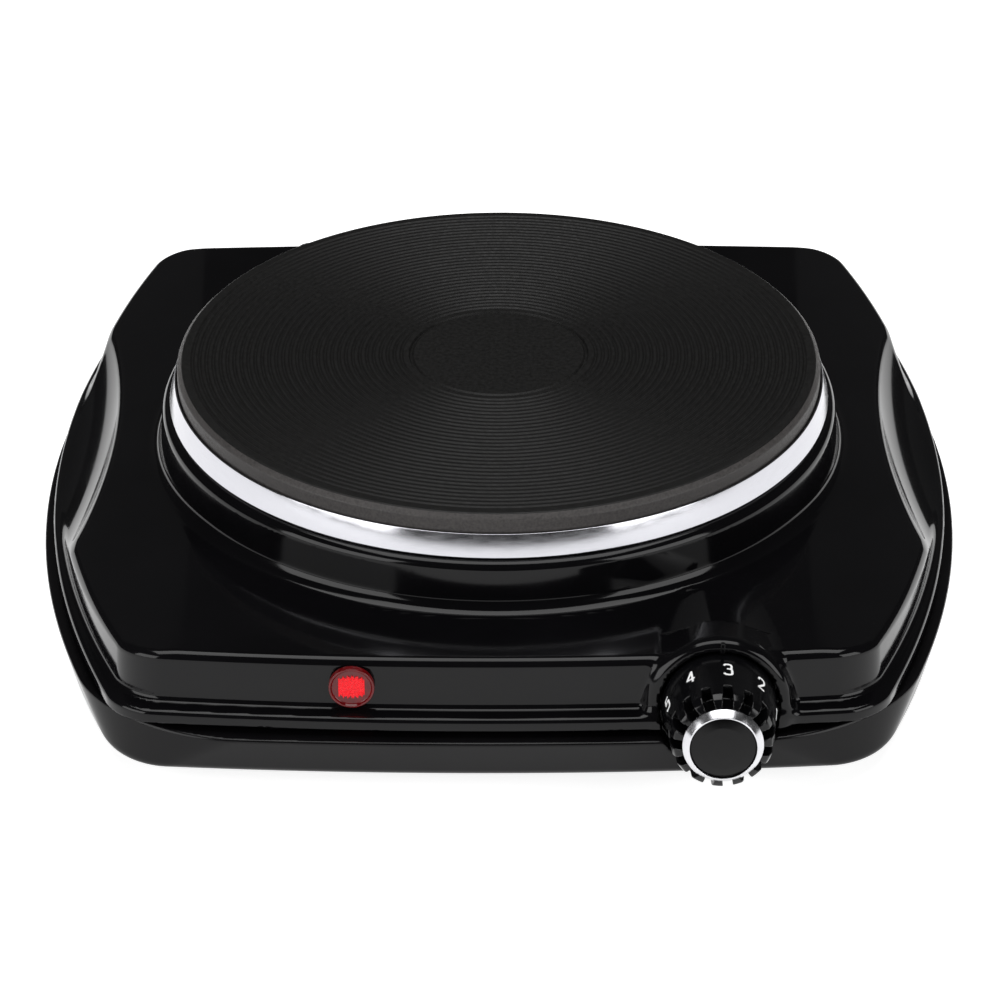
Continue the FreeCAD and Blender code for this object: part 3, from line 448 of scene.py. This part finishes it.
# Per material slot: name, colour, rough, spread, grain, bump, then metal, tint and stretch
LOOKS = {
    "enamel": look(
        "gloss_enamel", (0.0024, 0.0023, 0.0027), 0.09, 0.03, 30, 0.002, Specular_IOR_Level=0.2
    ),
    "pan_enamel": look(
        "pan_gloss_enamel", (0.003, 0.0028, 0.0032), 0.2, 0.05, 25, 0.004, Specular_IOR_Level=0.16
    ),
    "iron": look(
        "coated_cast_iron", (0.0048, 0.0046, 0.0044), 0.5, 0.1, 1.2, 0.03, Specular_IOR_Level=0.22
    ),
    "stainless": look(
        "polished_stainless", (0.5, 0.5, 0.53), 0.17, 0.04, 6, 0.001, 1.0, 0.03, (1, 1, 6)
    ),
    "zinc_steel": look("zinc_plate", (0.55, 0.56, 0.56), 0.35, 0.08, 2.5, 0.008, 1.0, 0.12),
    "aluminised": look("aluminised_sheet", (0.62, 0.63, 0.64), 0.42, 0.1, 3.0, 0.01, 1.0, 0.15),
    "nichrome": look("nichrome_wire", (0.2, 0.17, 0.15), 0.45, 0.1, 2.0, 0.01, 1.0, 0.3),
    "ceramic": look("steatite", (0.7, 0.66, 0.57), 0.65, 0.1, 2.0, 0.02),
    "brass": look("turned_brass", (0.7, 0.48, 0.2), 0.28, 0.08, 2.0, 0.006, 1.0, 0.12),
    "spring_alloy": look("spring_bronze", (0.6, 0.38, 0.2), 0.3, 0.08, 2.0, 0.004, 1.0, 0.12),
    "bimetal": look("rolled_bimetal", (0.45, 0.41, 0.36), 0.35, 0.08, 2.0, 0.005, 1.0, 0.12, (1, 8, 1)),
    "knob_black": look(
        "gloss_moulding", (0.0022, 0.0022, 0.0026), 0.14, 0.04, 4, 0.004, Specular_IOR_Level=0.25
    ),
    "cap_black": look(
        "satin_cap", (0.002, 0.002, 0.0022), 0.2, 0.04, 3, 0.003, Specular_IOR_Level=0.18
    ),
    "knob_chrome": look("satin_chrome", (0.55, 0.55, 0.57), 0.2, 0.05, 2, 0.002, 1.0, 0.03),
    "red_lens": look(
        "red_moulding", (0.075, 0.002, 0.003), 0.1, 0.03, 2, 0.003, tint=0.3,
        Emission_Color=(0.6, 0.004, 0.008, 1.0), Emission_Strength=0.03, Specular_IOR_Level=0.35,
    ),
    "bulb_glass": look("bulb_glass", (0.95, 0.88, 0.8), 0.06, 0.02, 3, 0.003, Transmission_Weight=0.9),
    "gland_black": look("black_nylon", (0.02, 0.02, 0.02), 0.5, 0.08, 1.5, 0.02),
    "block_white": look("white_nylon", (0.75, 0.75, 0.72), 0.45, 0.08, 1.5, 0.01, tint=0.04),
    "wire_brown": look("brown_sleeve", (0.16, 0.06, 0.025), 0.5, 0.08, 1.0, 0.02),
    "wire_blue": look("blue_sleeve", (0.03, 0.08, 0.35), 0.5, 0.08, 1.0, 0.02),
    "wire_green": look("green_sleeve", (0.1, 0.35, 0.05), 0.5, 0.08, 1.0, 0.02),
    "resistor_tan": look("resistor_body", (0.55, 0.4, 0.25), 0.4, 0.08, 1.0, 0.01),
    "foot_rubber": look("foot_rubber", (0.018, 0.018, 0.018), 0.75, 0.08, 1.0, 0.03),
}
numeral_white = look("numeral_white", (0.8, 0.8, 0.8), 0.45, 0.06, 1.0, 0.004, tint=0.03)
cast_edge = look(
    "cast_edge", (0.034, 0.031, 0.03), 0.5, 0.15, 0.7, 0.08, tint=0.4, Specular_IOR_Level=0.35
)
window_red = look(
    "lit_window", (0.45, 0.004, 0.008), 0.35, 0.1, 0.35, 0.12, tint=0.6,
    Emission_Color=(1.0, 0.01, 0.02, 1.0), Emission_Strength=0.4, Specular_IOR_Level=0.3,
)

for sub in frame["record"]["subparts"]:
    node = frame["nodes"].get(sub["node"])
    if node is not None:
        for holder in node.material_slots:
            holder.material = LOOKS[sub["material_slot"]]


# Housing ------------------------------------------------------------------------------------------

side_lines = [(-131.0, -84.0, 0.85), (-84.0, 36.0, 1.7), (36.0, 131.0, 0.9)]
deep_lines = [(-131.5, -104.0, 0.8), (-104.0, 104.0, 1.4), (104.0, 131.5, 0.8)]
high_lines = [(7.0, 20.0, 1.0), (20.0, 42.0, 0.65), (42.0, 55.0, 0.75)]
grid_lines = [graded(spans) for spans in (side_lines, deep_lines, high_lines)]
points, quads, normals = surface_nets(shell_solid, *grid_lines)
add_piece("pressed_top", points, quads, ROOT, LOOKS["enamel"], ["top_shell"], normals)

side_lines = [(-134.0, -84.0, 0.75), (-84.0, 38.0, 2.0), (38.0, 134.0, 0.85)]
deep_lines = [
    (-134.0, -92.0, 0.7), (-92.0, -34.0, 1.4), (-34.0, 34.0, 0.9), (34.0, 92.0, 1.4), (92.0, 134.0, 0.75)
]
high_lines = [(6.0, 10.0, 0.5), (10.0, 17.5, 1.1), (17.5, 23.0, 0.5)]
grid_lines = [graded(spans) for spans in (side_lines, deep_lines, high_lines)]
points, quads, normals = surface_nets(pan_solid, *grid_lines)
add_piece("lower_pan", points, quads, ROOT, LOOKS["pan_enamel"], ["base_pan"], normals)


# Plate and ring -----------------------------------------------------------------------------------

GROOVES, FIRST_GROOVE_R, GROOVE_PITCH, GROOVE_DEPTH = 31, 28.0, 2.0, 0.34
GROOVE_HALF_TOP, GROOVE_HALF_FLOOR = 0.65, 0.2
CHANNEL_RADII, CHANNEL_HALF, CHANNEL_ROOF_Z = (75.0, 58.0, 41.0), 7.0, PLATE_TOP_Z - 3.4
PLATE_UNDER_Z, STUD_BOSS_R, STUD_BOSS_Z = PLATE_TOP_Z - 8.0, 10.0, PLATE_TOP_Z - 10.0
RIM_INNER_R, RIM_BOTTOM_Z = 87.0, COLLAR_TOP_Z + 0.5


def plate_profile():
    """The cooking plate's section, from the axis outward over the top and back underneath."""
    top = [(0.0, PLATE_TOP_Z - 0.1), (12.0, PLATE_TOP_Z - 0.12), (24.4, PLATE_TOP_Z - 0.1)]
    top += [(24.9, PLATE_TOP_Z - 0.5), (25.5, PLATE_TOP_Z - 0.55), (25.9, PLATE_TOP_Z), (26.9, PLATE_TOP_Z)]
    floor_z = PLATE_TOP_Z - GROOVE_DEPTH
    for groove in range(GROOVES):
        radius = FIRST_GROOVE_R + GROOVE_PITCH * groove
        top += [(radius - GROOVE_HALF_TOP, PLATE_TOP_Z), (radius - GROOVE_HALF_FLOOR, floor_z)]
        top += [(radius + GROOVE_HALF_FLOOR, floor_z), (radius + GROOVE_HALF_TOP, PLATE_TOP_Z)]
    rim = rounded(
        [(90.0, PLATE_TOP_Z), (PLATE_R - 1.5, PLATE_TOP_Z), (PLATE_R, PLATE_TOP_Z - 1.5),
         (PLATE_R, RIM_BOTTOM_Z), (RIM_INNER_R, RIM_BOTTOM_Z)],
        [0, 0.8, 0.8, 0.3, 0], 4,
    )
    under = [(RIM_INNER_R, PLATE_UNDER_Z)]
    for middle in CHANNEL_RADII:
        outer, inner = middle + CHANNEL_HALF, middle - CHANNEL_HALF
        under += [(outer, PLATE_UNDER_Z), (outer, CHANNEL_ROOF_Z)]
        under += [(inner, CHANNEL_ROOF_Z), (inner, PLATE_UNDER_Z)]
    under += [(STUD_BOSS_R, PLATE_UNDER_Z), (STUD_BOSS_R, STUD_BOSS_Z), (0.0, STUD_BOSS_Z)]
    return np.array(top + [tuple(p) for p in rim[1:]] + under)[::-1]


verts, faces = merge_axis(*lathe(plate_profile(), 240))
plate = add_piece(
    "cooking_plate", verts, faces, ROOT, LOOKS["iron"], ["cast_iron_plate"], smooth_deg=28
)
plate.data.materials.append(cast_edge)
EDGE_WIDTH, EDGE_FROM_Z = 1.2, COLLAR_TOP_Z + 2
for polygon in plate.data.polygons:
    reach = math.hypot(polygon.center.x, polygon.center.y - AXIS_Y * MM) / MM
    if reach > PLATE_R - EDGE_WIDTH and polygon.center.z / MM > EDGE_FROM_Z:
        polygon.material_index = 1

ring_profile = rounded(
    [(86.0, 53.7), (94.45, 53.7), (95.05, 54.4), (93.35, 60.9), (92.8, 60.9), (94.15, 54.4),
     (93.75, 54.2), (86.0, 54.2), (86.0, 53.7)],
    [0, 0.4, 0.4, 0.22, 0.22, 0.3, 0.3, 0, 0], 4,
)[:-1]
verts, faces = lathe(ring_profile, 288)
add_piece(
    "trim_ring", verts, faces, ROOT, LOOKS["stainless"], ["overflow_ring"], smooth_deg=35
)


# Knob ---------------------------------------------------------------------------------------------

# Lengths along the knob, _L, are from the joint's place outward
KNOB_REAR_L, KNOB_FRONT_L = -8.0, 21.3
TEETH, SLOT_HALF, SLOT_FLOOR_R, SLOT_REAR_L = 15, 1.2, 10.2, 14.6
FIRST_SLOT, SLOT_FLARE = math.radians(5.0), 0.02
HOLLOW_L, HOLLOW_R, HOLLOW_END_L = [-8.0, 2.0, 8.0, 13.0, 13.01], [13.4, 13.4, 11.0, 11.0, 8.6], 18.0
HUB_R, HUB_REAR_L, BORE_R, BORE_END_L = 5.2, -6.5, 3.0, 14.0
BARREL = rounded(
    [(15.4, -8.0), (15.4, 1.5), (14.9, 6.0), (14.3, 12.0), (13.8, 18.3), (12.9, 20.4),
     (11.0, 21.3), (10.0, 21.3)],
    [0, 6, 8, 8, 2.5, 1.5, 0.4, 0], 6,
)


def barrel_radius(along):
    return np.interp(along, BARREL[:-1, 1], BARREL[:-1, 0])


def knob_solid(right, up, out):
    """The knob's body in its own frame: a turned barrel with slots between its teeth, hollow
    round a bored hub."""
    radius = np.hypot(right, up)
    body = meet(radius - barrel_radius(out), out - KNOB_FRONT_L, 0.5)
    body = np.maximum(body, KNOB_REAR_L - out)
    turn_angle = np.arctan2(right, up) - FIRST_SLOT
    pitch = 2 * math.pi / TEETH
    turn_angle = turn_angle - pitch * np.round(turn_angle / pitch)
    across = np.abs(radius * np.sin(turn_angle)) - SLOT_HALF - SLOT_FLARE * (out - SLOT_REAR_L)
    slot = meet(meet(across, SLOT_FLOOR_R - radius, 0.25), SLOT_REAR_L - out, 0.5)
    body = meet(body, -slot, 0.3)
    hollow = np.maximum(radius - np.interp(out, HOLLOW_L, HOLLOW_R), out - HOLLOW_END_L)
    hub = np.maximum(radius - HUB_R, HUB_REAR_L - out)
    body = np.maximum(body, -np.maximum(hollow, -hub))
    bore = np.maximum(radius - BORE_R, out - BORE_END_L)
    return np.maximum(body, -bore)


knob_lines, depth_lines = graded([(-15.8, 15.8, 0.34)]), graded([(-8.6, 12.0, 1.0), (12.0, 21.8, 0.34)])
points, quads, normals = surface_nets(knob_solid, knob_lines, knob_lines, depth_lines)
axes = np.stack([KNOB_RIGHT, KNOB_UP, KNOB_OUT])
add_piece(
    "dial_knob", from_knob(points), quads, "knob", LOOKS["knob_black"], ["knob_body"],
    normals @ axes,
)

ring_profile = rounded(
    [(8.85, 21.3), (10.7, 21.3), (10.7, 21.7), (9.2, 23.6), (8.85, 23.6), (8.85, 21.3)],
    [0, 0.15, 0.25, 0.12, 0.1, 0], 4,
)[:-1]
verts, faces = lathe(ring_profile, 128)
add_piece(
    "dial_ring", from_knob(verts), faces, "knob", LOOKS["knob_chrome"], ["knob_ring"],
    smooth_deg=35,
)

cap_profile = rounded(
    [(0.0, 21.3), (8.8, 21.3), (8.8, 22.7), (8.5, 23.05), (6.0, 23.6), (3.0, 23.98), (0.0, 24.1)],
    [0, 0.1, 0.3, 0.4, 6, 6, 0], 6,
)
verts, faces = merge_axis(*lathe(cap_profile, 128))
add_piece(
    "dial_cap", from_knob(verts), faces, "knob", LOOKS["cap_black"], ["knob_cap"],
    smooth_deg=35,
)


# The dial's numerals: each is one or two strokes, at a turn in degrees from the top of the knob
GLYPHS = {
    0: [[(0, 2.8), (1.25, 2.8), (1.25, 0), (1.25, -2.8), (0, -2.8), (-1.25, -2.8), (-1.25, 0),
         (-1.25, 2.8), (0, 2.8)]],
    1: [[(-0.9, 1.8), (0.25, 2.8), (0.25, -2.8)]],
    2: [[(-1.2, 1.6), (-1.1, 2.8), (1.2, 2.8), (1.2, 0.7), (-1.2, -2.75), (1.3, -2.75)]],
    3: [[(-1.15, 2.1), (-0.9, 2.8), (1.15, 2.8), (1.15, 0.35), (-0.35, 0.35)],
        [(-0.35, 0.35), (1.3, 0.35), (1.3, -2.8), (-0.9, -2.8), (-1.2, -2.0)]],
    4: [[(0.6, -2.8), (0.6, 2.75), (-1.35, -1.1), (1.4, -1.1)]],
    5: [[(1.1, 2.75), (-0.9, 2.75), (-1.05, 0.45), (1.25, 1.1), (1.25, -2.8), (-0.9, -2.8), (-1.2, -2.1)]],
}
GLYPH_TURNS = {3: 6.5, 4: -33.5, 5: -72.5, 2: 45.5, 1: 85.0, 0: 125.0}
GLYPH_SCALE, STROKE_HALF, GLYPH_L, INK_SUNK, INK_RAISED = 0.84, 0.36, 7.0, -0.15, 0.07
SHARP_CORNERS = {1: (1,), 2: (4,), 4: (1, 2), 5: (1, 2)}
SHARP_R, SOFT_R, CLOSEST = 0.06, 1.1, 0.02


def ribbon(path):
    """The two edges of a stroke of even width along a path."""
    path = np.array([p for n, p in enumerate(path) if n == 0 or np.hypot(*(p - path[n - 1])) > CLOSEST])
    ahead = np.gradient(path, axis=0)
    ahead /= np.linalg.norm(ahead, axis=1)[:, None]
    across = np.stack([ahead[:, 1], -ahead[:, 0]], axis=1) * STROKE_HALF
    return path - across, path + across


def on_barrel(flat, turn, lift):
    """Flat glyph points wrapped on the knob's barrel, a glyph's top being nearest the body."""
    along = GLYPH_L - flat[:, 1] * GLYPH_SCALE
    radius = barrel_radius(along) + lift
    angle = turn + flat[:, 0] * GLYPH_SCALE / radius
    return np.stack([radius * np.sin(angle), radius * np.cos(angle), along], axis=1)


def glyph_mesh(strokes, sharp, turn):
    """A numeral's strokes as bars wrapped on the barrel, a little of each sunk into it."""
    verts, faces = [], []
    for stroke in strokes:
        radii = [SHARP_R if n in sharp else SOFT_R for n in range(len(stroke))]
        edges = ribbon(rounded(stroke, radii, 6))
        rows = [on_barrel(edge, turn, lift) for lift in (INK_SUNK, INK_RAISED) for edge in edges]
        base, count = sum(len(v) for v in verts), len(edges[0])
        verts += rows
        order = (0, 1, 3, 2)
        for n in range(count - 1):
            for side in range(4):
                a = order[side] * count + base + n
                b = order[(side + 1) % 4] * count + base + n
                faces.append((a, a + 1, b + 1, b))
        for n in (0, count - 1):
            cap = [row * count + base + n for row in order]
            faces.append(cap if n == 0 else cap[::-1])
    return np.concatenate(verts), faces


for digit, degrees in GLYPH_TURNS.items():
    verts, faces = glyph_mesh(GLYPHS[digit], SHARP_CORNERS.get(digit, ()), math.radians(degrees))
    add_piece(
        f"numeral_{digit}", from_knob(verts), faces, "knob", numeral_white, smooth_deg=30
    )

MARK_TURN, MARK_R = math.radians(2.0), 17.3
MARK_HALF_WIDTH, MARK_HALF_LENGTH, MARK_HEIGHT = 0.6, 1.45, 0.35


def index_mark(right, up, out):
    """A small raised bar on the recess's rim, that the numerals are read against."""
    sine, cosine = math.sin(MARK_TURN), math.cos(MARK_TURN)
    across = np.abs(right * cosine - up * sine) - MARK_HALF_WIDTH
    reach = np.abs(up * cosine + right * sine - MARK_R) - MARK_HALF_LENGTH
    return meet(meet(across, reach, 0.3), out - MARK_HEIGHT, 0.25)


grid_lines = [graded([span]) for span in ((-0.9, 2.1, 0.12), (15.8, 18.9, 0.12), (-1.0, 0.6, 0.1))]
points, quads, normals = surface_nets(index_mark, *grid_lines)
add_piece("index_mark", from_knob(points), quads, ROOT, LOOKS["enamel"], normals=normals @ axes)


# Pilot lamp ---------------------------------------------------------------------------------------

def toward_front(points):
    """Points made round the Z axis, laid along the lamp's own axis from its front face backward."""
    points = np.asarray(points, float)
    start = lens_lo[1] - AXIS_Y
    return np.stack([LAMP_X + points[:, 0], start + points[:, 2], LAMP_Z - points[:, 1]], axis=1)


lens_length = lens_hi[1] - lens_lo[1]
lens_profile = rounded(
    [(0.0, 0.9), (3.6, 0.9), (5.2, 0.7), (5.45, 0.3), (5.6, 0.02), (6.1, 0.02), (6.1, 1.75), (5.0, 1.75),
     (5.0, lens_length), (4.1, lens_length), (4.1, 3.1), (0.0, 3.1)],
    [0, 0.3, 0.5, 0.25, 0.12, 0.22, 0.1, 0.1, 0.2, 0.2, 0.3, 0], 5,
)
verts, faces = merge_axis(*lathe(lens_profile, 128))
add_piece(
    "lens_body", toward_front(verts), faces, ROOT, LOOKS["red_lens"], ["pilot_lens"],
    smooth_deg=35,
)

WINDOW_WIDTH, WINDOW_HALF_HEIGHT, WINDOW_CROWN = 7.0, 3.2, 0.06
WINDOW_FRONT, WINDOW_BACK, WINDOW_RIDGE = 0.72, 0.95, 0.16


def glow_patch():
    """The lit window in the lens: a ridged plate with ragged upper and lower edges."""
    columns, rows = 46, 34
    verts = []
    for layer in (0, 1):
        for i in range(columns):
            x = -WINDOW_WIDTH / 2 + WINDOW_WIDTH * i / (columns - 1)
            ragged = 0.35 * math.sin(5.1 * x) + 0.25 * math.sin(11.3 * x + 1.0)
            reach = WINDOW_HALF_HEIGHT - WINDOW_CROWN * x * x + ragged
            for k in range(rows):
                y = -reach + 2 * reach * k / (rows - 1)
                ridge = WINDOW_RIDGE * math.sin(7.0 * x) * math.sin(6.2 * y)
                verts.append((x, y, WINDOW_BACK if layer else WINDOW_FRONT + ridge))
    faces = []
    sheet = columns * rows
    for i in range(columns - 1):
        for k in range(rows - 1):
            a = i * rows + k
            quad = (a, a + rows, a + rows + 1, a + 1)
            faces.append(quad[::-1])
            faces.append(tuple(v + sheet for v in quad))
    rim = [i * rows for i in range(columns)] + [(columns - 1) * rows + k for k in range(1, rows)]
    rim += [i * rows + rows - 1 for i in range(columns - 2, -1, -1)] + list(range(rows - 2, 0, -1))
    for a, b in zip(rim, rim[1:] + rim[:1]):
        faces.append((a, b, b + sheet, a + sheet))
    return verts, faces


verts, faces = glow_patch()
add_piece("lens_window", toward_front(verts), faces, ROOT, window_red, smooth_deg=40)


# Stage --------------------------------------------------------------------------------------------

def add_floor():
    """A pale floor that gives off a little light, as a light table does."""
    half = 4.0
    mesh = bpy.data.meshes.new("studio_floor")
    corners = [(-half, -half, 0), (half, -half, 0), (half, half, 0), (-half, half, 0)]
    mesh.from_pydata(corners, [], [(0, 1, 2, 3)])
    floor = bpy.data.objects.new("studio_floor", mesh)
    mesh.materials.append(look(
        "pale_floor", (0.7, 0.7, 0.7), 0.9, 0.03, 60, 0.0, tint=0.01,
        Emission_Color=(1, 1, 1, 1), Emission_Strength=0.8, Specular_IOR_Level=0.0,
    ))
    bpy.context.scene.collection.objects.link(floor)


def add_light(name, at, aim, width, depth, watts):
    data = bpy.data.lights.new(name, "AREA")
    data.energy = watts
    data.size = width
    data.shape = "RECTANGLE"
    data.size_y = depth
    light = bpy.data.objects.new(name, data)
    light.location = at
    light.rotation_euler = (Vector(aim) - Vector(at)).to_track_quat("-Z", "Y").to_euler()
    bpy.context.scene.collection.objects.link(light)


add_floor()
add_light("key_left", (-1.3, -1.0, 0.6), (0, 0, 0.1), 1.2, 1.0, 17)
add_light("key_right", (1.3, -1.0, 0.6), (0, 0, 0.1), 1.0, 1.0, 14)
add_light("overhead", (0.0, 0.1, 2.4), (0, 0, 0), 2.2, 1.8, 55)
add_light("back_left", (-0.85, 1.9, 0.9), (0, 0, 0.03), 1.1, 0.9, 0.13)
add_light("back_right", (0.85, 1.9, 0.9), (0, 0, 0.03), 1.1, 0.9, 0.13)

world = bpy.data.worlds.new("studio")
world.use_nodes = True
background = world.node_tree.nodes["Background"]
background.inputs["Color"].default_value = (1, 1, 1, 1)
background.inputs["Strength"].default_value = 0.035
bpy.context.scene.world = world

# The camera stands over a metre in front of the plate's axis, above it and looking down. Its place is
# in millimetres from the plate's axis and the floor.
CAMERA_AT = (3.0, -1048.5, 629.8)
PITCH, YAW, ROLL = math.radians(30.3), math.radians(-0.15), math.radians(-0.18)
SENSOR_MM, LENS_MM = 36.0, 148.788
reach = math.cos(PITCH)
forward = Vector((math.sin(YAW) * reach, math.cos(YAW) * reach, -math.sin(PITCH)))
level = Vector((math.cos(YAW), -math.sin(YAW), 0.0))
above = level.cross(forward)
right = level * math.cos(ROLL) + above * math.sin(ROLL)
up = above * math.cos(ROLL) - level * math.sin(ROLL)
camera_data = bpy.data.cameras.new("camera")
camera_data.sensor_width = SENSOR_MM
camera_data.lens = LENS_MM
camera = bpy.data.objects.new("camera", camera_data)
turned = Matrix((right, up, -forward)).transposed().to_4x4()
camera.matrix_world = Matrix.Translation(Vector(CAMERA_AT) * MM + Vector((0, AXIS_Y * MM, 0))) @ turned
bpy.context.scene.collection.objects.link(camera)
bpy.context.scene.camera = camera
bpy.context.scene.view_settings.view_transform = "Standard"
